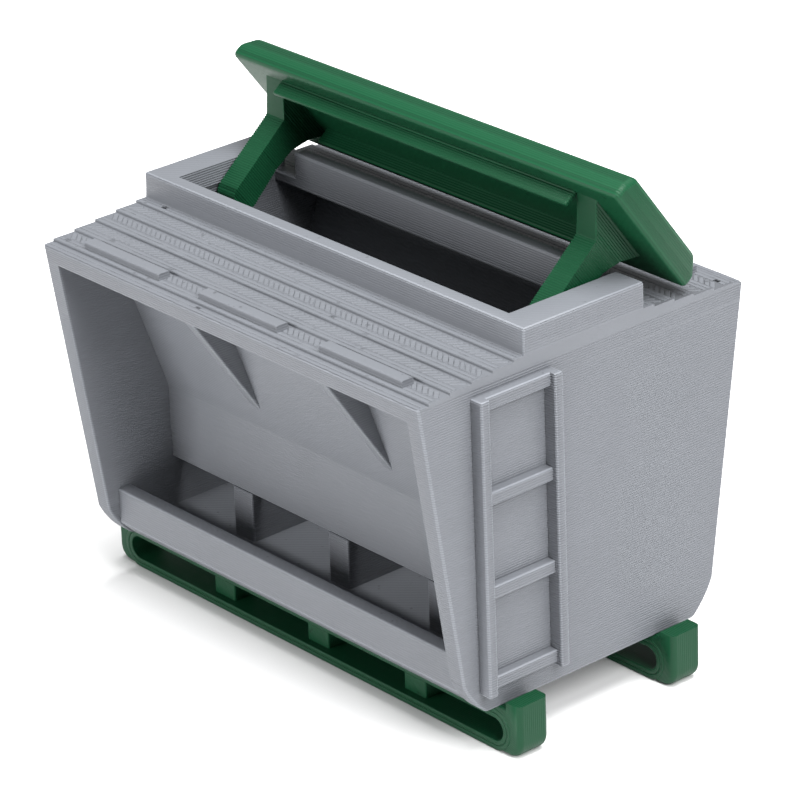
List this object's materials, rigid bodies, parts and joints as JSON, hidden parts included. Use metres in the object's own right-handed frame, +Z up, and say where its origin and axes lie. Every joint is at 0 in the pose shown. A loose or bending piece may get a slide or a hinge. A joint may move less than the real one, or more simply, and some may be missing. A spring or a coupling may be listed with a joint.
{
  "type": "livestock feeder model",
  "caption": "Small printed model of a skid-mounted, double-sided gravity feeder with a hinged hopper lid, covered troughs and an end ladder.",
  "frame": {"origin": "on the ground under the middle of the body", "axes": "+X along the body towards the ladder end, +Y towards the rear trough, where the open lid lies, +Z up"},
  "size_m": [0.0482, 0.0324, 0.0415],
  "materials": {
    "grey": "satin grey printed plastic with fine layer lines",
    "green": "satin dark green printed plastic with fine layer lines"
  },
  "bodies": {
    "body": {"floor": "grey", "front_hopper_panel": "grey", "front_left_gusset": "grey", "front_left_roof_bar": "grey", "front_middle_roof_bar": "grey", "front_right_gusset": "grey", "front_right_roof_bar": "grey", "front_rim": "grey", "front_roof": "grey", "front_skid_left_post": "green", "front_skid_left_tip": "green", "front_skid_middle_post": "green", "front_skid_rail": "green", "front_skid_right_post": "green", "front_skid_right_tip": "green", "front_skid_runner": "green", "front_throat_panel": "grey", "front_trough_board": "grey", "ladder_front_stile": "grey", "ladder_rear_stile": "grey", "ladder_rung_1": "grey", "ladder_rung_2": "grey", "ladder_rung_3": "grey", "ladder_rung_4": "grey", "left_divider": "grey", "left_end_wall": "grey", "left_hopper_liner": "grey", "left_rim": "grey", "middle_divider": "grey", "rear_hopper_panel": "grey", "rear_left_gusset": "grey", "rear_left_roof_bar": "grey", "rear_middle_roof_bar": "grey", "rear_right_gusset": "grey", "rear_right_roof_bar": "grey", "rear_rim": "grey", "rear_roof": "grey", "rear_skid_left_post": "green", "rear_skid_left_tip": "green", "rear_skid_middle_post": "green", "rear_skid_rail": "green", "rear_skid_right_post": "green", "rear_skid_right_tip": "green", "rear_skid_runner": "green", "rear_throat_panel": "grey", "rear_trough_board": "grey", "right_divider": "grey", "right_end_wall": "grey", "right_hopper_liner": "grey", "right_rim": "grey"},
    "lid": {"left_lid_arm": "green", "left_lid_pin": "green", "lid_front_lip": "green", "lid_panel": "green", "lid_rear_lip": "green", "right_lid_arm": "green", "right_lid_pin": "green"}
  },
  "joints": [
    {"name": "lid_hinge", "type": "hinge", "parent": "body", "child": "lid", "pos_m": [0, 0.00606, 0.02792], "axis": [1, 0, 0], "range_deg": [0, 53.2]}
  ]
}
